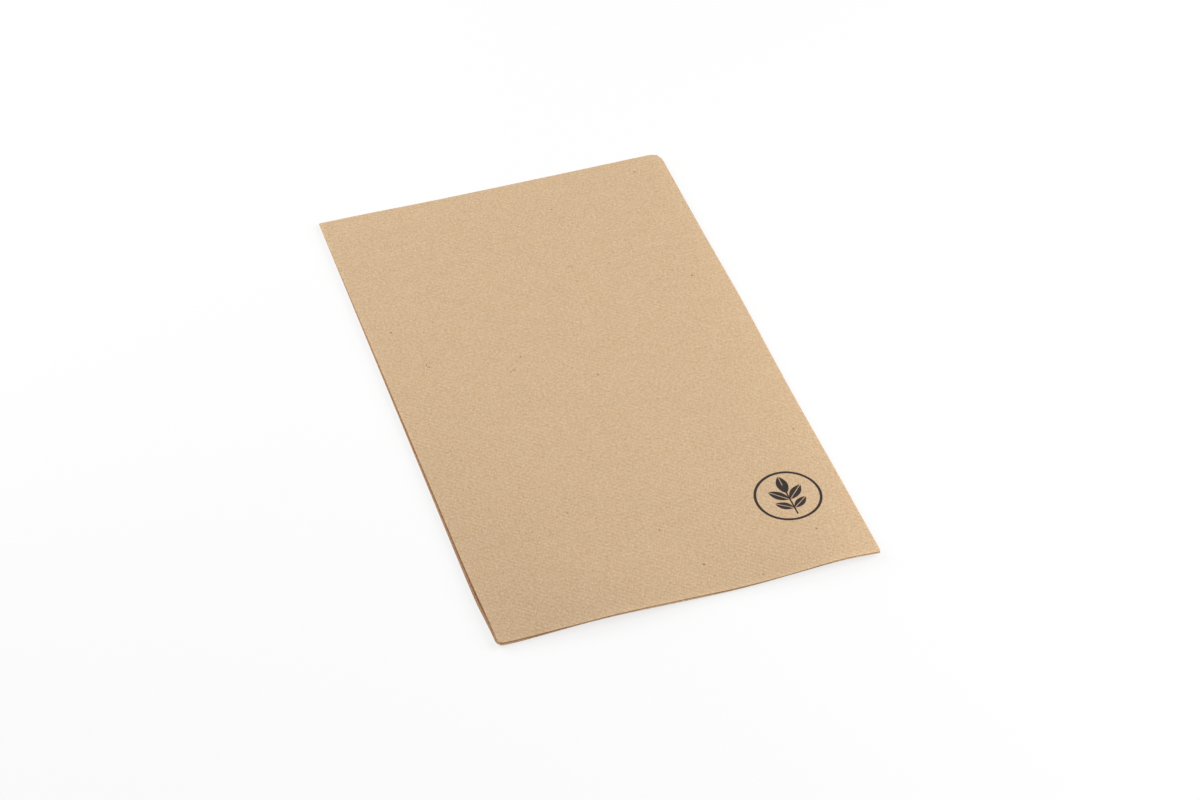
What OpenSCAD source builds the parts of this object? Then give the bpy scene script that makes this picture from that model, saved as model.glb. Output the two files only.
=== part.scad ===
// A paper napkin as it lies on a table: one rectangular sheet of tissue, folded three times.
// The folded napkin lies with its closed long edge towards +X, its closed short edge towards +Y,
// and its open edges towards -X and -Y. Sizes are in millimetres.

/* [Sheet] */
// Width of the open sheet, the side that is folded twice
sheet_w = 400; // [240:10:480]
// Length of the open sheet, the side that is folded once
sheet_l = 330; // [240:10:480]
// Thickness of the paper with its fine embossing
paper_t = 0.1; // [0.08:0.01:0.2]

/* [Folds] */
// Space left between the two layers that the first fold closes
gap_1 = 0.03; // [0.03:0.01:0.06]
// Space left between the two pairs of layers that the second fold closes
gap_2 = 0.04; // [0.04:0.01:0.08]
// Space left between the two leaves that the last fold closes
gap_3 = 0.12; // [0.12:0.01:0.3]
// How far the lower leaf shows past the upper one at the near open corner
skew = 1.2; // [0:0.1:2]
// How far the longer half of the second fold passes the other half at the near edge
stagger = 0.4; // [0.1:0.1:0.6]

/* [Lie of the paper] */
// Half the height of the soft wave along the near edge
wave_h = 0.6; // [0:0.1:0.9]
// How far the wave reaches in from the near edge
wave_reach = 32; // [24:2:70]
// How much the paper springs up between its pressed folds
puff_h = 0.35; // [0:0.05:0.6]
// How much the upper leaf lifts off the lower one at the open corner
lift_h = 0.35; // [0:0.05:0.6]
// Radius of the closed corner, where the second and the last fold meet
closed_corner_r = 2.5; // [0:0.5:3]
// Radius of the two near corners
near_corner_r = 1.2; // [0:0.2:1.6]

/* [Hidden] */

paper_colour = [0.83, 0.71, 0.58];

// Steps across one leaf, along one leaf, and round the last, the second and the first fold
STEPS_ACROSS = 12;
STEPS_ALONG = 12;
STEPS_LAST = 6;
STEPS_SECOND = 4;
STEPS_FIRST = 4;

// Height of the stack before and after each fold
stack_1 = 2 * paper_t + gap_1;
stack_2 = 2 * stack_1 + gap_2;
stack_3 = 2 * stack_2 + gap_3;

// Radius of the middle of the stack in each fold, where the paper keeps its length
bend_1 = (paper_t + gap_1) / 2;
bend_2 = (stack_1 + gap_2) / 2;
bend_3 = (stack_2 + gap_3) / 2;

// Width and length of a leaf, from its open edge to where its fold begins
leaf_w = (sheet_w - 2 * PI * bend_3 - PI * bend_1) / 4;
leaf_l = (sheet_l - stagger - PI * bend_2) / 2;

// The first fold's line, and the last fold's small turn away from the leaf's own edges
line_1 = 2 * leaf_w + PI * bend_3;
turn = asin(skew / leaf_l) / 2;

// How far the upper leaf's near corner hangs over the lower leaf's, because of that turn
overhang = skew * leaf_w / leaf_l;

// How far each fold bulges past its line
reach_1 = paper_t + gap_1 / 2;
reach_2 = stack_1 + gap_2 / 2;
reach_3 = stack_2 + gap_3 / 2;

// Soft step from 0 to 1, with no slope at either end
function ease(t) = t <= 0 ? 0 : t >= 1 ? 1 : t * t * (3 - 2 * t);

// Width of the lower leaf at the distance y from its near edge, because the last fold is turned
function leaf_at(y) = leaf_w + tan(turn) * (leaf_l - y);

// 0 in the lower leaf and 1 in the upper one
function upper(p) = ease(10 * p.z / stack_3 - 4.5);

// Swaps the two directions of the sheet, so that one fold function serves both
function swap(p) = [p.y, p.x, p.z];

// Turns a point about the vertical line through the far end of the last fold
function turned(p, angle) =
    let (x = p.x - leaf_w, y = p.y - leaf_l)
    [
        leaf_w + x * cos(angle) - y * sin(angle),
        leaf_l + x * sin(angle) + y * cos(angle),
        p.z
    ];

// Folds what lies past x = line up and over onto the rest. The stack is `height` high, and the
// fold bends round an axis at half the gap above it.
function folded(p, line, height, gap) =
    let (
        past = p.x - line,
        axis_z = height + gap / 2,
        bend = (height + gap) / 2,
        angle = past / bend * 180 / PI,
        r = axis_z - p.z
    )
    past <= 0 ? p
    : angle < 180 ? [line + r * sin(angle), p.y, axis_z - r * cos(angle)]
    : [line - past + PI * bend, p.y, 2 * axis_z - p.z];

// The three folds in the order in which the sheet is folded
function first_fold(p) = folded(p, line_1, paper_t, gap_1);
function second_fold(p) = swap(folded(swap(p), leaf_l, stack_1, gap_2));
function last_fold(p) = turned(folded(turned(p, -turn), leaf_w, stack_2, gap_3), turn);

// How high the whole stack stands off the table: a soft wave along the near edge, with a crest at
// 0.31 of the width and every 0.6 of it on, that levels out at the corners and dies out inwards
function wave(p) =
    let (across = p.x / leaf_w, level_out = pow(2 * across - 1, 12))
    wave_h * (1 + cos(360 * (across - 0.31) / 0.6) * (1 - level_out))
        * ease(1 - p.y / wave_reach);

// How much the paper springs up: nothing at the two closed edges, where it is pressed
function puff(p) =
    let (
        from_last = leaf_at(p.y) + reach_3 - p.x,
        from_second = leaf_l + reach_2 - p.y,
        soft = 9 - 5 * p.y / leaf_l
    )
    puff_h * ease(from_last / (2 * soft)) * ease(from_second / 10) * p.z / stack_3;

// How much the upper leaf lifts at its open corner
function lift(p) = lift_h * upper(p) * ease(1 - p.x / 50) * ease(1 - p.y / 120);

// Draws a corner in along its diagonal; x and y are the distances from the two edges
function corner_pull(x, y, r) = r <= 0 ? 0 : 0.29 * r * exp(-2 * (x * x + y * y) / (r * r));

// Lets the folded sheet settle: corners rounded, near edge waved, leaves puffed and lifted
function settled(p) =
    let (
        right = leaf_at(p.y) + reach_3 - p.x,
        far = leaf_l + reach_2 - p.y,
        closed = corner_pull(right, far, closed_corner_r),
        near_left = corner_pull(p.x - skew * upper(p), p.y + overhang * upper(p), near_corner_r),
        near_right = corner_pull(right, p.y, near_corner_r / 2)
    )
    [
        p.x - closed + near_left - near_right,
        p.y - closed + near_left + near_right,
        p.z + wave(p) + puff(p) + lift(p)
    ];

// Moves the middle of the folded outline to the origin
outline_middle = [
    (leaf_at(0) + reach_3 - reach_1) / 2,
    (leaf_l + reach_2 - overhang - stagger) / 2,
    0
];
function centred(p) = p - outline_middle;

// A point of the flat sheet, `u` across, `v` along and `w` into the paper, where it ends up
function place(u, v, w) =
    centred(settled(last_fold(second_fold(first_fold([u, v, w])))));

// Steps from 0 to 1 that lie closer together at both ends
function eased_steps(count) = [for (i = [0:count]) (1 - cos(180 * i / count)) / 2];

// Where the steps lie along the sheet: the lower half, round the second fold, the upper half
along = [
    for (s = eased_steps(STEPS_ALONG)) [leaf_l * s, leaf_l * s],
    for (i = [1:STEPS_SECOND - 1]) [leaf_l + PI * bend_2 * i / STEPS_SECOND, leaf_l],
    for (s = eased_steps(STEPS_ALONG)) [leaf_l * (1 + s) + PI * bend_2, leaf_l * (1 - s)],
    [sheet_l, -stagger]
];

// Steps across the half sheet that the first fold leaves: lower leaf, last fold, upper leaf
function across_half(y) =
    let (w = leaf_at(y), round = PI * bend_3)
    [
        for (s = eased_steps(STEPS_ACROSS)) w * s,
        for (i = [1:STEPS_LAST - 1]) w + round * i / STEPS_LAST,
        for (s = eased_steps(STEPS_ACROSS)) w + round + (line_1 - round - w) * s
    ];

// Steps across the whole sheet, the second half the mirror of the first
function across(y) =
    let (half = across_half(y), round = PI * bend_1, count = len(half))
    [
        each half,
        for (i = [1:STEPS_FIRST - 1]) line_1 + round * i / STEPS_FIRST,
        for (i = [1:count]) 2 * line_1 + round - half[count - i]
    ];

// The sheet as one closed skin: the outer face, the inner face and a strip round the cut edges
module napkin() {
    rows = [for (place_along = along) across(place_along[1])];
    n_u = len(rows[0]);
    n_v = len(along);
    points = [
        for (w = [0, paper_t], j = [0:n_v - 1], i = [0:n_u - 1])
            place(rows[j][i], along[j][0], w)
    ];
    inner = n_u * n_v;
    // A facet's diagonal runs the same way over the table in every layer, so layers stay parallel
    outer_face = [
        for (j = [0:n_v - 2], i = [0:n_u - 2])
            let (
                a = j * n_u + i,
                b = a + n_u,
                mirrored = (points[a + 1].x - points[a].x) * (points[b].y - points[a].y) < 0
            )
            each mirrored
                ? [[a, a + 1, b], [a + 1, b + 1, b]]
                : [[a, a + 1, b + 1], [a, b + 1, b]]
    ];
    inner_face = [for (t = outer_face) [t[2] + inner, t[1] + inner, t[0] + inner]];
    rim = [
        for (i = [0:n_u - 1]) i,
        for (j = [1:n_v - 1]) j * n_u + n_u - 1,
        for (i = [n_u - 2:-1:0]) (n_v - 1) * n_u + i,
        for (j = [n_v - 2:-1:1]) j * n_u
    ];
    cut_edge = [
        for (k = [0:len(rim) - 1])
            let (a = rim[k], b = rim[(k + 1) % len(rim)])
            each [[b, a, a + inner], [b, a + inner, b + inner]]
    ];
    color(paper_colour)
        polyhedron(points, concat(outer_face, inner_face, cut_edge), convexity = 20);
}

napkin();
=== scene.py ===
# A paper napkin: one sheet of brown, embossed tissue, folded three times, on a pale table.
# Lengths are in millimetres, and become metres where they go into Blender.
import math

import bpy
import numpy as np
from mathutils import Matrix, Vector

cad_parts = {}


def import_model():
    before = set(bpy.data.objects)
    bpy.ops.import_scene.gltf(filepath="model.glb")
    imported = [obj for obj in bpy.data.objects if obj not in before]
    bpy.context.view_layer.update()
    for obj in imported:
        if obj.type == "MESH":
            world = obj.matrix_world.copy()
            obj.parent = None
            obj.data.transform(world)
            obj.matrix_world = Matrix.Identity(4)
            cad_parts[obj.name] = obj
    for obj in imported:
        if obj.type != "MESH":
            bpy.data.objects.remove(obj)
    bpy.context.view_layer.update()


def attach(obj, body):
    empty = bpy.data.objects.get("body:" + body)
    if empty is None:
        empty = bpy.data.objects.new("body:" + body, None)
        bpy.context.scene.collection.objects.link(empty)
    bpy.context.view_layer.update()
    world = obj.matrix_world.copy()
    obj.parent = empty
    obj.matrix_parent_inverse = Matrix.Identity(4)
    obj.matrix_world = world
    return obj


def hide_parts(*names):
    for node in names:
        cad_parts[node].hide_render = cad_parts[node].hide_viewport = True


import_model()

MM = 0.001

# The sheet and its folds, as in the part's source
SHEET_W = 400.0
SHEET_L = 330.0
PAPER = 0.1
GAP_1 = 0.03
GAP_2 = 0.04
GAP_3 = 0.12
SKEW = 1.2
STAGGER = 0.4

# Height of the stack after each fold, and the radius at which the paper goes round each fold
STACK_1 = 2 * PAPER + GAP_1
STACK_2 = 2 * STACK_1 + GAP_2
STACK_3 = 2 * STACK_2 + GAP_3
BEND_1 = (PAPER + GAP_1) / 2
BEND_2 = (STACK_1 + GAP_2) / 2
BEND_3 = (STACK_2 + GAP_3) / 2

# A leaf of the folded napkin, the first fold's line and the last fold's small turn
LEAF_W = (SHEET_W - 2 * math.pi * BEND_3 - math.pi * BEND_1) / 4
LEAF_L = (SHEET_L - STAGGER - math.pi * BEND_2) / 2
LINE_1 = 2 * LEAF_W + math.pi * BEND_3
TURN = math.asin(SKEW / LEAF_L) / 2
OVERHANG = SKEW * LEAF_W / LEAF_L

# How far each fold bulges past its line, and the middle of the folded outline
REACH_1 = PAPER + GAP_1 / 2
REACH_2 = STACK_1 + GAP_2 / 2
REACH_3 = STACK_2 + GAP_3 / 2
MIDDLE_X = (LEAF_W + math.tan(TURN) * LEAF_L + REACH_3 - REACH_1) / 2
MIDDLE_Y = (LEAF_L + REACH_2 - OVERHANG - STAGGER) / 2

# Steps of the mesh across one leaf, along one leaf and round the folds, and the angle in degrees
# past which an edge stays sharp
STEPS_ACROSS = 46
STEPS_ALONG = 88
STEPS_LAST = 10
STEPS_SECOND = 6
STEPS_FIRST = 6
SHARP = 60

# The soft wave along the near edge, as in the part's source: half its height, how far it reaches
# in, its first crest and the space between crests as shares of the width, and the power with
# which it levels out at the corners
WAVE_H = 0.6
WAVE_REACH = 32.0
WAVE_CREST = 0.31
WAVE_PERIOD = 0.6
WAVE_LEVEL = 12

# How much the paper springs up between its pressed folds, as in the part's source, and over which
# width it rises from the last fold, at the near and at the far end, and from the second fold
PUFF_H = 0.35
PUFF_NEAR = 18.0
PUFF_FAR = 8.0
PUFF_SECOND = 10.0

# How much the upper leaf lifts at the open corner, as in the part's source, and how far across and
# along that reaches
LIFT_H = 0.35
LIFT_ACROSS = 50.0
LIFT_ALONG = 120.0

# The height in the stack, as a share of it, at which the upper leaf starts, and the share over
# which it does so
UPPER_START = 0.45
UPPER_SOFT = 0.1

# Radii of the closed corner and of the two near ones, and how far a corner's point is drawn in on
# each axis, as a share of the radius
CLOSED_CORNER_R = 2.5
NEAR_LEFT_R = 0.84
NEAR_RIGHT_R = 0.6
CORNER_PULL = 0.29

# Cockling of the tissue: its height, and the length, the direction in degrees and the shift in
# radians of each of its waves
COCKLE_H = 0.05
COCKLES = ((31, 20, 0.3), (23, 75, 1.9), (17, 130, 4.1), (43, 160, 2.2), (13, 48, 5.0))

# A shallow dent that runs in from the last fold: its depth, where it starts, how far it runs
# towards the near edge for each millimetre inwards, half its width and its length
DENT_H = 0.12
DENT_Y = 62.0
DENT_SLOPE = 0.29
DENT_WIDTH = 2.5
DENT_LENGTH = 16.0

# How the layers slip over each other at the near edge, for each millimetre of height: at the left
# end, and in full; the share of the width over which the slip gets there; how far the wave draws
# that edge in; and how far inwards both go
SHEAR_LEFT = 0.45
SHEAR_RIGHT = 1.0
SHEAR_RISE = 0.6
NEAR_DRAW = 0.4
NEAR_FADE = 60.0

# A ripple in how the layers' near edges line up: its height, its length for each radian, how many
# radians it turns from the lowest layer to the highest, and how far inwards it goes
RIPPLE = 0.10
RIPPLE_LENGTH = 9.0
RIPPLE_TURN = 9.0
RIPPLE_FADE = 20.0

# How far the upper leaf leans out over its open edge, over which length from the near edge that
# sets in, over which it fades away again, and how far inwards it goes
LEAN = 0.5
LEAN_START = 24.0
LEAN_REACH = 180.0
LEAN_FADE = 50.0

# How far the lower leaf's near corner is tucked in, over which length of the open edge, and how
# far inwards
TUCK = 0.82
TUCK_REACH = 18.0
TUCK_FADE = 40.0

# The near left corner is pressed flat, this far across and along, which draws the upper leaf in
PRESS_ACROSS = 24.0
PRESS_ALONG = 16.0
PRESS_DRAW = 0.25

# How the four edges bow. A bell curve has its height, its middle and half its width, and a soft
# step its height, its start and its length. The last value is how far inwards the left bow goes.
LEFT_STEPS = ((0.16, 0, 20),)
RIGHT_BELLS = ((0.34, 99, 21), (0.18, 30, 16))
NEAR_BELLS = ((0.34, 54, 11),)
NEAR_STEPS = ((0.3, 82, 12),)
FAR_STEPS = ((0.47, 5, 34), (-0.13, 70, 25))
LEFT_FADE = 50.0

# Paper and print, as the light that they reflect in red, green and blue: the open paper, which
# wavers between two colours, the layers out of the light, and where light only comes through
KRAFT_COOL = (0.659, 0.480, 0.305, 1)
KRAFT_WARM = (0.659, 0.454, 0.271, 1)
KRAFT_SHADED = (0.740, 0.450, 0.270, 1)
KRAFT_DEEP = (0.420, 0.210, 0.100, 1)
INK = (0.020, 0.014, 0.014, 1)
FLECK = (0.20, 0.11, 0.055, 1)

# Noise in the paper: the size of its features, its detail and its roughness
CLOUDS = (12.0, 2.0, 0.5)
MOTTLE = (3.0, 1.0, 0.5)
PULP = (0.8, 3.0, 0.7)
GRAIN = (0.35, 1.0, 0.5)
WARMTH = (4.0, 1.0, 0.5)

# How far the paper wavers between its two colours, how much each noise and the emboss count in its
# relief, where the emboss's share is painted shade along the embossed lattice, how much relief and
# clouds make it lighter, and the pale tint that relief adds, which holds more green and blue than
# the paper does
WARM_SPREAD = 0.95
PULP_SHARE = 0.58
GRAIN_SHARE = 0.45
MOTTLE_SHARE = 0.07
EMBOSS_SHADE_SHARE = 0.011
RELIEF_LIGHT = 0.65
CLOUD_LIGHT = 0.04
GRAIN_TINT = (0.24, 0.35, 0.285)

# The embossed lattice: three waves, in turns for each millimetre across and along the table, and
# their strengths; and the height of the emboss and of the pulp
LATTICE = ((0.5625, 0.656, 1.35), (1.172, -0.586, 0.75), (0.609, -1.266, 0.75))
EMBOSS_H = 0.012
PULP_H = 0.03

# The surface's roughness, how much smoother ink makes it, how much the pulp thins the ink, and the
# strength of its faint gloss
ROUGHNESS = 0.9
INK_SMOOTHER = 0.3
INK_THINNER = 0.3
GLOSS = 0.2

# Painted highlight where light catches the folds and edges, as how pale and how wide: along the
# last fold, over a greater width towards its open end, along the second and the first fold, and
# along the near edge, where the painted highlight is weaker left of a soft step across the table
HIGHLIGHT_LAST = 0.067
HIGHLIGHT_LAST_WIDTH = 2.2
HIGHLIGHT_LAST_WIDER = 4.5
HIGHLIGHT_SECOND = 0.015
HIGHLIGHT_SECOND_WIDTH = 3.0
HIGHLIGHT_FIRST = 0.06
HIGHLIGHT_FIRST_WIDTH = 0.5
HIGHLIGHT_NEAR = 0.14
HIGHLIGHT_NEAR_WIDTH = 0.8
HIGHLIGHT_NEAR_LEFT = 0.35
HIGHLIGHT_NEAR_STEP = (-55.0, 5.0)

# Painted shade that darkens the paper towards its open corner: by how much, how a step to the
# left and one towards the near edge count, and between which distances it sets in
PAINTED_CORNER_DARK = 0.06
PAINTED_CORNER_ACROSS = 0.8
PAINTED_CORNER_ALONG = 0.9
PAINTED_CORNER_STEP = (22.0, 122.0)

# The layers between the leaves are out of the light, more and more between these distances from
# the second fold, but not over this length at their near edge; there only a small share of the
# shade lies beside the first fold, as far as this width, with a soft end
SHADE_STEP = (9.0, 99.0)
SHADE_EDGE = 6.0
SHADE_CORNER = 0.15
SHADE_CORNER_WIDTH = 19.0
SHADE_CORNER_SOFT = 12.0

# The deep shade starts this far outside the upper leaf's edge, with this softness, and the inner
# face has a share of it
DEEP_AHEAD = 0.2
DEEP_SOFT = 0.3
DEEP_INNER = 0.5

# Fine flecks in the pulp: the size of the cells that hold them, the spread of their radii, and how
# strong, ragged and soft they are
FLECK_CELL = 5.0
FLECK_SPREAD = 0.5
FLECK_STRENGTH = 0.45
FLECK_RAGGED = 0.6
FLECK_SOFT = 0.15

# Larger specks, with their places and radii, and fibres, with their middle, the radius of their
# bow, the way that its back faces and their span; and how strong, ragged and soft these are
SPECKS = (
    (40.0, 76.8, 0.25), (12.6, 68.4, 0.2), (39.9, 29.8, 0.25), (-44.0, 33.2, 0.28),
    (-14.2, 13.4, 0.2), (3.0, 0.6, 0.25), (-0.8, -57.6, 0.25), (5.7, -72.1, 0.33),
    (-20.6, -45.0, 0.2), (44.4, -34.4, 0.28), (36.4, -69.8, 0.22), (18.4, -79.6, 0.22),
)
FIBRES = ((-38.6, 17.6, 0.8, 200, 1.9), (9.9, 43.9, 0.7, 60, 1.7), (-17.9, 9.0, 3.0, 120, 2.2))
SPECK_STRENGTH = 0.75
SPECK_RAGGED = 0.8
SPECK_SOFT = 0.2
FIBRE_R = 0.09
FIBRE_SOFT = 0.1
FIBRE_END_SOFT = 0.3

# The printed mark: its middle on the table's axes, the ring's outer radius and half the width of
# its line, and the stem's half width, half length and middle
MARK_X = 34.0
MARK_Y = -56.5
MARK_R = 8.75
RING_HALF = 0.36
STEM_HALF_W = 0.22
STEM_HALF_L = 5.4
STEM_Y = -1.4

# Its leaves, with their foot on the stem, their lean in degrees, their length and their width; one
# that leans has a twin on the other side. Then half the width of a midrib, and how soft the ink is
# on an outline, beside a thin line and at the stem's ends.
LEAVES = ((0.9, 0, 6.4, 3.0), (-1.4, 46, 6.2, 2.7), (-4.6, 54, 5.2, 2.4))
MIDRIB_HALF = 0.09
OUTLINE_SOFT = 0.12
LINE_SOFT = 0.1
STEM_END_SOFT = 0.2

# How far the inner face lies from the outer one on the sheet's map, so that no print shows there
INNER_SHIFT = 1000.0

# The camera, as it stood for the photograph
CAMERA_TARGET = (1.63, -7.69, 0.0)
CAMERA_AZIMUTH = -19.149
CAMERA_ELEVATION = 43.703
CAMERA_ROLL = 0.872
CAMERA_DISTANCE = 809.5
CAMERA_LENS = 93.0
CAMERA_CLIP = (10.0, 50000.0)
SENSOR = 36.0

# The table: half its side, how far it lies below the napkin, its own white, and the share and
# strength of its glow to the camera
FLOOR_HALF = 3000.0
FLOOR_DROP = 0.02
FLOOR_WHITE = (0.86, 0.86, 0.86, 1)
FLOOR_GLOW = 0.72
GLOW_STRENGTH = 1.05

# The light from all round, and the two lamps: their distance and size, and for each its bearing
# clockwise of +Y and its height, in degrees, and its share of the table's light
WHITE = (1, 1, 1, 1)
WORLD = 0.33
LAMP_DISTANCE = 550.0
LAMP_SIZE = 400.0
RIGHT_LAMP = (110, 35, 0.44)
FAR_LEFT_LAMP = (315, 30, 0.32)


def ease(t):
    """Soft step from 0 to 1: three t squared less two t cubed, held at both ends"""
    t = np.clip(t, 0, 1)
    return t * t * (3 - 2 * t)


def soft_steps(t, steps):
    """Soft steps added up, each given by its height, its start and its length"""
    return sum(height * ease((t - start) / length) for height, start, length in steps)


def bells(t, curves):
    """Bell curves added up, each given by its height, its middle and half its width"""
    return sum(height * np.exp(-((t - middle) / half) ** 2) for height, middle, half in curves)


def leaf_at(y):
    """Width of the lower leaf at the distance y from its near edge: the last fold is turned"""
    return LEAF_W + math.tan(TURN) * (LEAF_L - y)


def turned(x, y, angle):
    """Points turned by the angle about the far end of the last fold"""
    dx, dy = x - LEAF_W, y - LEAF_L
    c, s = math.cos(angle), math.sin(angle)
    return LEAF_W + dx * c - dy * s, LEAF_L + dx * s + dy * c


def folded(x, z, line, height, gap):
    """Folds what lies past x = line up and over: flat before the line, then half a turn round an
    axis at half the gap above the stack, then flat again, upside down and running back"""
    axis_z = height + gap / 2
    bend = (height + gap) / 2
    past = x - line
    angle = np.clip(past / bend, 0, math.pi)
    r = axis_z - z
    flat_x = np.minimum(past, 0) - np.maximum(past - math.pi * bend, 0)
    return line + flat_x + r * np.sin(angle), axis_z - r * np.cos(angle)


def fold_up(u, v, w):
    """The three folds, in the order in which the sheet is folded"""
    x, z = folded(u, w, LINE_1, PAPER, GAP_1)
    y, z = folded(v, z, LEAF_L, STACK_1, GAP_2)
    x, y = turned(x, y, -TURN)
    x, z = folded(x, z, LEAF_W, STACK_2, GAP_3)
    x, y = turned(x, y, TURN)
    return x, y, z


def wave(x, y):
    """Height of the soft wave along the near edge: a cosine of the place across, levelled out at
    the corners and dying out inwards"""
    across = x / LEAF_W
    level_out = (2 * across - 1) ** WAVE_LEVEL
    crest = np.cos(2 * math.pi * (across - WAVE_CREST) / WAVE_PERIOD)
    return WAVE_H * (1 + crest * (1 - level_out)) * ease(1 - y / WAVE_REACH)


def cockle(x, y):
    """Height of the faint cockling: half the sum of sines of different lengths and directions"""
    total = 0
    for length, direction, shift in COCKLES:
        a = math.radians(direction)
        total = total + np.sin(2 * math.pi * (x * math.cos(a) + y * math.sin(a)) / length + shift)
    return COCKLE_H * total / 2


def dent(x, y):
    """Depth of the dent: a bell curve across a line that runs in from the last fold, ending softly"""
    across = DENT_SLOPE * (x - LEAF_W) - (y - DENT_Y)
    return bells(across, ((DENT_H, 0, DENT_WIDTH),)) * ease(1 - (LEAF_W - x) / DENT_LENGTH)


def corner_pull(x, y, r):
    """How far a corner is drawn in along its diagonal: a bell curve of the distance from it"""
    return CORNER_PULL * r * np.exp(-2 * (x * x + y * y) / (r * r))


def bowed(x, y):
    """How the four edges bow: small shifts across and along, made of bell curves and soft steps
    along each edge, that die away inwards by a soft step"""
    left = soft_steps(y, LEFT_STEPS) * ease(1 - x / LEFT_FADE)
    right = bells(y, RIGHT_BELLS) * ease(x / LEAF_W)
    near = (bells(x, NEAR_BELLS) + soft_steps(x, NEAR_STEPS)) * ease(1 - y / NEAR_FADE)
    far = soft_steps(x, FAR_STEPS) * ease(2 * y / LEAF_L - 1)
    return left + right, near - far


def slipped(x, y, z, upper, pressed):
    """How far the layers move in at the near edge: by the wave's draw, less their shear, which is
    the height times a strength that rises to the right, and by a sine ripple and the pressed corner"""
    shear = SHEAR_LEFT + (SHEAR_RIGHT - SHEAR_LEFT) * ease(x / (SHEAR_RISE * LEAF_W))
    ripple = RIPPLE * np.sin(x / RIPPLE_LENGTH + RIPPLE_TURN * z / STACK_3)
    drawn = (NEAR_DRAW - shear * z) * ease(1 - y / NEAR_FADE)
    return ripple * ease(1 - y / RIPPLE_FADE) + drawn + PRESS_DRAW * pressed * upper


def settled(x, y, z):
    """Lets the folded sheet settle: corners rounded, near edge waved, leaves puffed and lifted, the
    upper leaf leaning out and the lower one's near corner tucked in, layers slipped, edges bowed"""
    upper = ease((z / STACK_3 - UPPER_START) / UPPER_SOFT)
    pressed = ease(1 - x / PRESS_ACROSS) * ease(1 - y / PRESS_ALONG)
    from_last = leaf_at(y) + REACH_3 - x
    from_second = LEAF_L + REACH_2 - y

    closed = corner_pull(from_last, from_second, CLOSED_CORNER_R)
    near_left = corner_pull(x - SKEW * upper, y + OVERHANG * upper, NEAR_LEFT_R)
    near_right = corner_pull(from_last, y, NEAR_RIGHT_R)

    rise = PUFF_NEAR - (PUFF_NEAR - PUFF_FAR) * y / LEAF_L
    spring = ease(from_last / rise) * ease(from_second / PUFF_SECOND) * z / STACK_3
    puff = (PUFF_H + cockle(x, y) - dent(x, y)) * spring
    lift = LIFT_H * upper * ease(1 - x / LIFT_ACROSS) * ease(1 - y / LIFT_ALONG) * (1 - pressed)

    lean = LEAN * upper * ease(1 - x / LEAN_FADE) * ease(y / LEAN_START) * ease(1 - y / LEAN_REACH)
    tuck = TUCK * (1 - upper) * ease(1 - x / TUCK_FADE) * ease(1 - y / TUCK_REACH)
    bow_x, bow_y = bowed(x, y)
    return (
        x - closed + near_left - near_right - lean + tuck + bow_x,
        y - closed + near_left + near_right + slipped(x, y, z, upper, pressed) + bow_y,
        z + wave(x, y) + puff + lift,
    )


def place(u, v, w):
    """Where a point of the flat sheet ends up on the table, in metres"""
    x, y, z = settled(*fold_up(u, v, w))
    return np.stack([x - MIDDLE_X, y - MIDDLE_Y, z], axis=-1) * MM


def eased_steps(count):
    """Steps from 0 to 1, closer together at both ends: half of one less the cosine"""
    return (1 - np.cos(np.linspace(0, math.pi, count + 1))) / 2


def round_steps(count):
    """The steps between the two ends of a fold, evenly spaced from 0 to 1"""
    return np.arange(1, count) / count


def sheet_grid():
    """Lines of the flat sheet: rows run along it and round the second fold, and each row's points
    run across it, round the last fold on both halves and round the first fold between them"""
    s = eased_steps(STEPS_ALONG)
    arc_2 = math.pi * BEND_2
    v = np.concatenate([
        LEAF_L * s, LEAF_L + arc_2 * round_steps(STEPS_SECOND), LEAF_L + arc_2 + LEAF_L * s, [SHEET_L]
    ])
    y = np.concatenate([LEAF_L * s, np.full(STEPS_SECOND - 1, LEAF_L), LEAF_L * (1 - s), [-STAGGER]])
    w = leaf_at(y)[:, None]
    s = eased_steps(STEPS_ACROSS)[None, :]
    arc_3, arc_1 = math.pi * BEND_3, math.pi * BEND_1
    half = np.concatenate([
        w * s, w + arc_3 * round_steps(STEPS_LAST)[None, :], w + arc_3 + (LINE_1 - arc_3 - w) * s
    ], axis=1)
    fold_1 = LINE_1 + arc_1 * round_steps(STEPS_FIRST)[None, :] + 0 * w
    u = np.concatenate([half, fold_1, 2 * LINE_1 + arc_1 - half[:, ::-1]], axis=1)
    return u, np.repeat(v[:, None], u.shape[1], axis=1)


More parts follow.
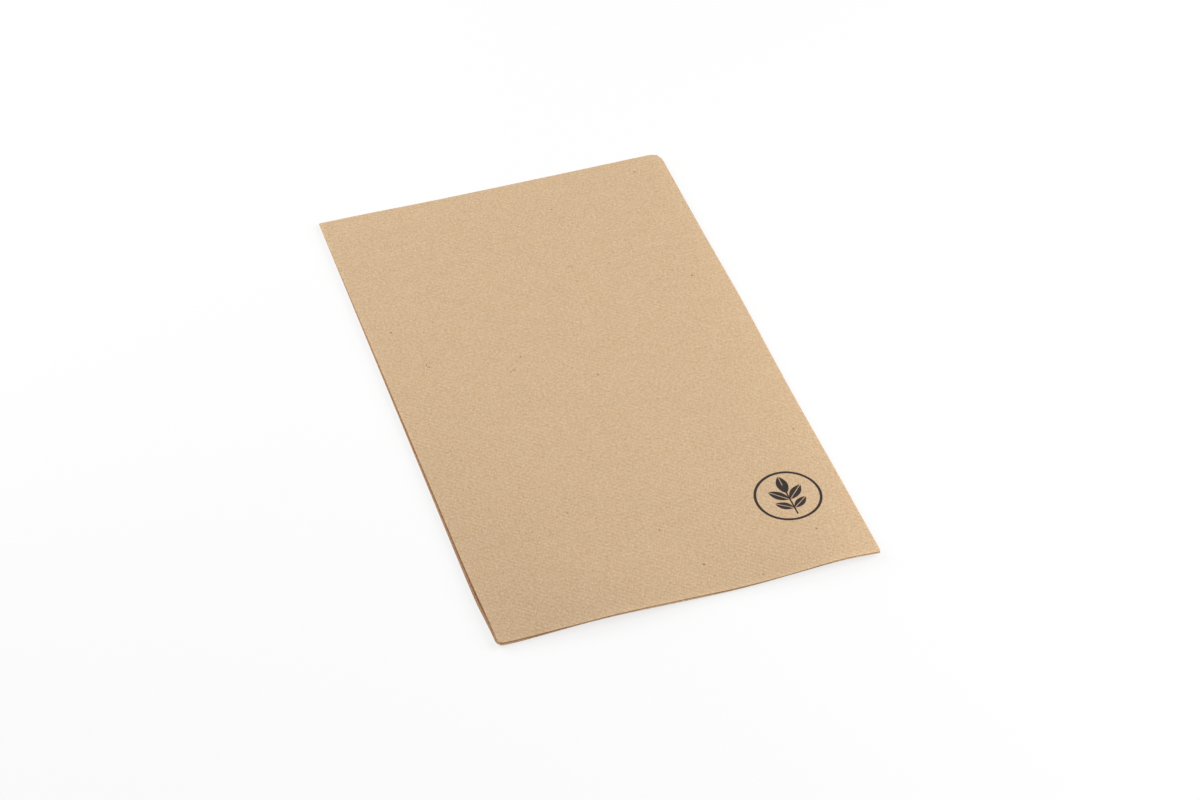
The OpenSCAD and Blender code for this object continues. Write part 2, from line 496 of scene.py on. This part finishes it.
def napkin():
    """The sheet as one closed skin: its outer face, its inner face and a strip round the cut edge.
    Its map holds each point's place on the flat sheet, and the strip has the outer face's."""
    u, v = sheet_grid()
    rows, columns = u.shape
    outside = place(u, v, 0 * u).reshape(-1, 3)
    inside = place(u, v, PAPER + 0 * u).reshape(-1, 3)
    number = np.arange(rows * columns).reshape(rows, columns)
    a, b = number[:-1, :-1], number[1:, :-1]
    outer = np.stack([a, b, b + 1, a + 1], axis=-1).reshape(-1, 4)
    inner = outer[:, ::-1] + rows * columns
    rim = np.concatenate([number[0, :-1], number[:-1, -1], number[-1, :0:-1], number[:0:-1, 0]])
    ahead = np.roll(rim, -1)
    strip = np.stack([rim, ahead, ahead + rows * columns, rim + rows * columns], axis=-1)
    faces = np.concatenate([outer, inner, strip])

    mesh = bpy.data.meshes.new("napkin_sheet")
    mesh.from_pydata(np.concatenate([outside, inside]), [], faces)
    flat = np.stack([u, v], axis=-1).reshape(-1, 2)
    inner_flat = flat[outer[:, ::-1]] + [INNER_SHIFT, 0]
    flat = np.concatenate([flat[outer], inner_flat, flat[strip % len(flat)]])
    layer = mesh.uv_layers.new(name="sheet")
    layer.data.foreach_set("uv", flat.ravel() * MM)
    mesh.polygons.foreach_set("use_smooth", np.ones(len(faces), dtype=bool))
    mesh.set_sharp_from_angle(angle=math.radians(SHARP))
    mesh.update()
    piece = bpy.data.objects.new("napkin_sheet", mesh)
    bpy.context.collection.objects.link(piece)
    return piece


class Wire:
    """A node's output. Arithmetic on it adds Math nodes, and add() adds any other node."""

    def __init__(self, tree, socket=None):
        self.tree = tree
        self.socket = socket

    def add(self, kind, inputs=(), output=0, **settings):
        """A new node: its settings first, then the value or the link of each socket"""
        node = self.tree.nodes.new(kind)
        for name, value in settings.items():
            setattr(node, name, value)
        for name, value in dict(inputs).items():
            if isinstance(value, Wire):
                self.tree.links.new(value.socket, node.inputs[name])
            else:
                node.inputs[name].default_value = value
        return Wire(self.tree, node.outputs[output] if node.outputs else None)

    def math(self, operation, *others):
        """A Math node of this output and the others, in that order"""
        return self.add("ShaderNodeMath", enumerate((self, *others)), operation=operation)

    def mix(self, factor, a, b):
        """The colour a where the factor is 0 and b where it is 1"""
        return self.add("ShaderNodeMix", {0: factor, 6: a, 7: b}, output=2, data_type="RGBA")

    def noise(self, size, detail, roughness):
        """Noise over this vector, with features of about the given size, from -0.5 to 0.5"""
        inputs = {"Vector": self, "Scale": 1 / size, "Detail": detail, "Roughness": roughness}
        return self.add("ShaderNodeTexNoise", inputs) - 0.5

    def rising(self, start, end):
        """0 before the start and 1 past the end, with a soft course between them"""
        inputs = {0: self, 1: start, 2: end}
        return self.add("ShaderNodeMapRange", inputs, interpolation_type="SMOOTHSTEP")

    def soft_step(self, width):
        """0 below zero and 1 above it, with a soft edge of the given width"""
        return self.rising(-width / 2, width / 2)

    def __add__(self, other):
        return self.math("ADD", other)

    def __sub__(self, other):
        return self.math("SUBTRACT", other)

    def __rsub__(self, other):
        return self.add("ShaderNodeMath", {0: other, 1: self}, operation="SUBTRACT")

    def __mul__(self, other):
        return self.math("MULTIPLY", other)

    def __truediv__(self, other):
        return self.math("DIVIDE", other)

    def __abs__(self):
        return self.math("ABSOLUTE")

    __radd__ = __add__
    __rmul__ = __mul__


def radius(x, y):
    """Distance from the origin"""
    return (x * x + y * y).math("SQRT")


def fading(distance, width):
    """1 on a line and less away from it: an exponential of the distance"""
    return (-1 * distance / width).math("EXPONENT")


def leaf(x, y, foot, lean, length, width):
    """A printed leaf, pointed at both ends, with its midrib left bare: its half width is a parabola
    along its length"""
    a = math.radians(lean)
    dy = y - foot
    along = (x * math.sin(a) + dy * math.cos(a)) / length
    off = abs(x * math.cos(a) - dy * math.sin(a))
    body = (2 * width * along * (1 - along) - off).soft_step(OUTLINE_SOFT)
    return body * (off - MIDRIB_HALF).soft_step(LINE_SOFT)


def mark(x, y):
    """The printed mark: a thin ring round a sprig of five leaves"""
    ring = (RING_HALF - abs(radius(x, y) - (MARK_R - RING_HALF))).soft_step(OUTLINE_SOFT)
    beside_stem = (STEM_HALF_W - abs(x)).soft_step(LINE_SOFT)
    stem = beside_stem * (STEM_HALF_L - abs(y - STEM_Y)).soft_step(STEM_END_SOFT)
    ink = ring.math("MAXIMUM", stem)
    for foot, lean, length, width in LEAVES:
        for side in ((1, -1) if lean else (1,)):
            ink = ink.math("MAXIMUM", leaf(x, y, foot, side * lean, length, width))
    return ink


def fibre(x, y, middle_x, middle_y, bow, facing, span):
    """A dark fibre in the pulp: a stretch of a circle's line, `span` from end to end, whose back
    faces the given way"""
    a = math.radians(facing)
    arc = abs(radius(x - (middle_x - bow * math.cos(a)), y - (middle_y - bow * math.sin(a))) - bow)
    near = radius(x - middle_x, y - middle_y)
    return (FIBRE_R - arc).soft_step(FIBRE_SOFT) * (span / 2 - near).soft_step(FIBRE_END_SOFT)


def flecks(sheet, x, y, ragged):
    """Specks and fibres in the pulp: the cells of a Voronoi pattern hold ragged specks of random
    radius, many of them too small to show, and the larger specks and the fibres have their places"""
    settings = {"Vector": sheet, "Scale": 1 / FLECK_CELL}
    far = sheet.add("ShaderNodeTexVoronoi", settings, output="Distance")
    pick = sheet.add("ShaderNodeTexVoronoi", settings, output="Color")
    chance = sheet.add("ShaderNodeSeparateXYZ", {0: pick}, output="X")
    inside = FLECK_SPREAD * (chance - 0.5) - FLECK_CELL * far + FLECK_RAGGED * ragged
    fine = inside.soft_step(FLECK_SOFT)
    large = fibre(x, y, *FIBRES[0])
    for hair in FIBRES[1:]:
        large = large.math("MAXIMUM", fibre(x, y, *hair))
    for speck_x, speck_y, r in SPECKS:
        inside = r - radius(x - speck_x, y - speck_y) + SPECK_RAGGED * ragged
        large = large.math("MAXIMUM", inside.soft_step(SPECK_SOFT))
    return (FLECK_STRENGTH * fine).math("MAXIMUM", SPECK_STRENGTH * large)


def painted_highlight(u, v, x):
    """How much painted highlight lightens the paper where light catches it: on the last fold, over a
    greater width towards its open end, on the second and the first fold, and on the sheet's two cut
    edges at the near side"""
    open_end = (1 - v / LEAF_L).math("MAXIMUM", 0)
    last_width = HIGHLIGHT_LAST_WIDTH + HIGHLIGHT_LAST_WIDER * open_end
    last = fading(abs(u - (LEAF_W + math.pi * BEND_3 / 2)), last_width)
    second = fading(abs(v - (LEAF_L + math.pi * BEND_2 / 2)), HIGHLIGHT_SECOND_WIDTH)
    first = fading(abs(u - (LINE_1 + math.pi * BEND_1 / 2)), HIGHLIGHT_FIRST_WIDTH)
    near = fading(abs(v).math("MINIMUM", abs(v - SHEET_L)), HIGHLIGHT_NEAR_WIDTH)
    near = near * (HIGHLIGHT_NEAR_LEFT + (1 - HIGHLIGHT_NEAR_LEFT) * x.rising(*HIGHLIGHT_NEAR_STEP))
    return HIGHLIGHT_LAST * last + HIGHLIGHT_SECOND * second + HIGHLIGHT_NEAR * near + HIGHLIGHT_FIRST * first


def painted_corner_shade(x, y):
    """How strongly painted shade darkens the paper towards its open corner, from 0 to 1"""
    return (-PAINTED_CORNER_ACROSS * x - PAINTED_CORNER_ALONG * y).rising(*PAINTED_CORNER_STEP)


def between(u, v):
    """How far the layers between the two leaves are out of the light: not at all at the far end,
    most towards the near edge, and at that edge itself only a little, beside the first fold"""
    edge = (SHEET_L - v).rising(0, SHADE_EDGE)
    corner = (SHADE_CORNER_WIDTH - abs(u - LINE_1)).soft_step(SHADE_CORNER_SOFT)
    return (v - LEAF_L).rising(*SHADE_STEP) * edge.math("MAXIMUM", SHADE_CORNER * corner)


def deep(u, v, shade):
    """Where light only comes through the paper and is red: in the shade, from just outside the
    upper leaf's edge on, and by a share on the inner face"""
    shown = (SKEW - LEAN) * (v - LEAF_L) / LEAF_L
    under = (u - shown + DEEP_AHEAD).soft_step(DEEP_SOFT) * shade
    inner = u.math("GREATER_THAN", (SHEET_W + INNER_SHIFT) / 2)
    return under.math("MAXIMUM", DEEP_INNER * inner)


def lattice(x, y):
    """The embossed lattice: cosines of the place on the table, each by its strength, added up"""
    total = 0
    for across, along, strength in LATTICE:
        phase = x * (2 * math.pi * across) + y * (2 * math.pi * along)
        total = total + strength * phase.math("COSINE")
    return total


def paper_material():
    """Brown tissue: clouds, pulp mottling, flecks, the embossed lattice and the printed mark"""
    material = bpy.data.materials.new("brown_tissue")
    material.use_nodes = True
    tree = material.node_tree
    tree.nodes.clear()
    wire = Wire(tree)
    uv = wire.add("ShaderNodeUVMap", output="UV", uv_map="sheet")
    sheet = wire.add("ShaderNodeVectorMath", {0: uv, "Scale": 1 / MM}, operation="SCALE")
    u = wire.add("ShaderNodeSeparateXYZ", {0: sheet}, output="X")
    v = wire.add("ShaderNodeSeparateXYZ", {0: sheet}, output="Y")
    # Where a point of the uppermost layer lies on the table
    x, y = LINE_1 - MIDDLE_X - u, v - MIDDLE_Y

    emboss = lattice(x, y)
    pulp = sheet.noise(*PULP)
    relief = PULP_SHARE * pulp + GRAIN_SHARE * sheet.noise(*GRAIN)
    # The emboss's share darkens the colour along the lattice: painted shade
    relief = relief + MOTTLE_SHARE * sheet.noise(*MOTTLE) - EMBOSS_SHADE_SHARE * emboss
    light = 1 + CLOUD_LIGHT * sheet.noise(*CLOUDS) + RELIEF_LIGHT * relief
    # Painted highlight lightens the paper where light catches the folds and edges
    # Painted shade darkens the paper towards its open corner
    light = light + painted_highlight(u, v, x) - PAINTED_CORNER_DARK * painted_corner_shade(x, y)
    shade = between(u, v)
    base = wire.mix(0.5 + WARM_SPREAD * sheet.noise(*WARMTH), KRAFT_COOL, KRAFT_WARM)
    base = wire.mix(shade, base, KRAFT_SHADED)
    base = wire.mix(deep(u, v, shade), base, KRAFT_DEEP)
    pale = wire.add("ShaderNodeVectorMath", {0: GRAIN_TINT, "Scale": relief}, operation="SCALE")
    base = wire.add("ShaderNodeVectorMath", {0: base, 1: light, 2: pale}, operation="MULTIPLY_ADD")
    base = wire.mix(flecks(sheet, x, y, pulp), base, FLECK)
    ink = mark(x - MARK_X, y - MARK_Y)
    base = wire.mix(ink * (1 - INK_THINNER * abs(pulp)), base, INK)

    height = EMBOSS_H * emboss + PULP_H * pulp
    normal = wire.add("ShaderNodeBump", {"Height": height, "Distance": MM, "Strength": 1.0})
    shader = wire.add("ShaderNodeBsdfPrincipled", {
        "Base Color": base, "Roughness": ROUGHNESS - INK_SMOOTHER * ink, "Normal": normal,
        "Specular IOR Level": GLOSS,
    })
    wire.add("ShaderNodeOutputMaterial", {"Surface": shader})
    return material


def floor():
    """A plain white table that takes the napkin's shadow and reads as white to the camera"""
    mesh = bpy.data.meshes.new("floor")
    half, low = FLOOR_HALF * MM, -FLOOR_DROP * MM
    corners = [(-half, -half, low), (half, -half, low), (half, half, low), (-half, half, low)]
    mesh.from_pydata(corners, [], [(0, 1, 2, 3)])
    piece = bpy.data.objects.new("floor", mesh)
    bpy.context.collection.objects.link(piece)
    material = bpy.data.materials.new("white_table")
    material.use_nodes = True
    material.node_tree.nodes.clear()
    wire = Wire(material.node_tree)
    seen = wire.add("ShaderNodeLightPath", output="Is Camera Ray")
    diffuse = wire.add("ShaderNodeBsdfDiffuse", {"Color": FLOOR_WHITE})
    glow = wire.add("ShaderNodeEmission", {"Color": WHITE, "Strength": GLOW_STRENGTH})
    both = wire.add("ShaderNodeMixShader", {0: FLOOR_GLOW * seen, 1: diffuse, 2: glow})
    wire.add("ShaderNodeOutputMaterial", {"Surface": both})
    mesh.materials.append(material)


def world():
    """Even pale surroundings, white where the camera or a glossy surface sees them"""
    surroundings = bpy.data.worlds.new("surroundings")
    surroundings.use_nodes = True
    surroundings.node_tree.nodes.clear()
    wire = Wire(surroundings.node_tree)
    seen = wire.add("ShaderNodeLightPath", output="Is Camera Ray")
    mirrored = wire.add("ShaderNodeLightPath", output="Is Glossy Ray")
    strength = WORLD + (1 - WORLD) * seen.math("MAXIMUM", mirrored)
    back = wire.add("ShaderNodeBackground", {"Color": WHITE, "Strength": strength})
    wire.add("ShaderNodeOutputWorld", {"Surface": back})
    bpy.context.scene.world = surroundings


def softbox(name, bearing, height, share):
    """A square lamp that looks at the middle of the napkin. Its power gives the table its share of
    the light: that share times the square of pi times the distance, over the sine of the height"""
    turn, rise = math.radians(bearing), math.radians(height)
    distance = LAMP_DISTANCE * MM
    level = math.cos(rise)
    lamp = bpy.data.lights.new(name, "AREA")
    lamp.shape = "SQUARE"
    lamp.size = LAMP_SIZE * MM
    lamp.energy = share * (math.pi * distance) ** 2 / math.sin(rise)
    holder = bpy.data.objects.new(name, lamp)
    away = Vector((level * math.sin(turn), level * math.cos(turn), math.sin(rise)))
    holder.location = away * distance
    holder.rotation_euler = away.to_track_quat("Z", "Y").to_euler()
    holder.visible_camera = False
    bpy.context.collection.objects.link(holder)


def camera():
    """The camera on a sphere round its target: turned, raised and then rolled"""
    turn, rise = math.radians(CAMERA_AZIMUTH), math.radians(CAMERA_ELEVATION)
    level = math.cos(rise)
    back = Vector((level * math.sin(turn), -level * math.cos(turn), math.sin(rise)))
    right = Vector((0, 0, 1)).cross(back).normalized()
    up = back.cross(right)
    roll = math.radians(CAMERA_ROLL)
    tilted = right * math.cos(roll) + up * math.sin(roll)
    upright = up * math.cos(roll) - right * math.sin(roll)
    data = bpy.data.cameras.new("camera")
    data.lens = CAMERA_LENS
    data.sensor_width = SENSOR
    data.sensor_fit = "HORIZONTAL"
    data.clip_start = CAMERA_CLIP[0] * MM
    data.clip_end = CAMERA_CLIP[1] * MM
    holder = bpy.data.objects.new("camera", data)
    where = (Vector(CAMERA_TARGET) + back * CAMERA_DISTANCE) * MM
    axes = Matrix((tilted, upright, back)).transposed()
    holder.matrix_world = Matrix.Translation(where) @ axes.to_4x4()
    bpy.context.collection.objects.link(holder)
    bpy.context.scene.camera = holder


camera()
floor()
world()
softbox("right_lamp", *RIGHT_LAMP)
softbox("far_left_lamp", *FAR_LEFT_LAMP)

sheet = napkin()
sheet.data.materials.append(paper_material())
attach(sheet, "root")
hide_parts("napkin")

bpy.context.scene.view_settings.view_transform = "Standard"
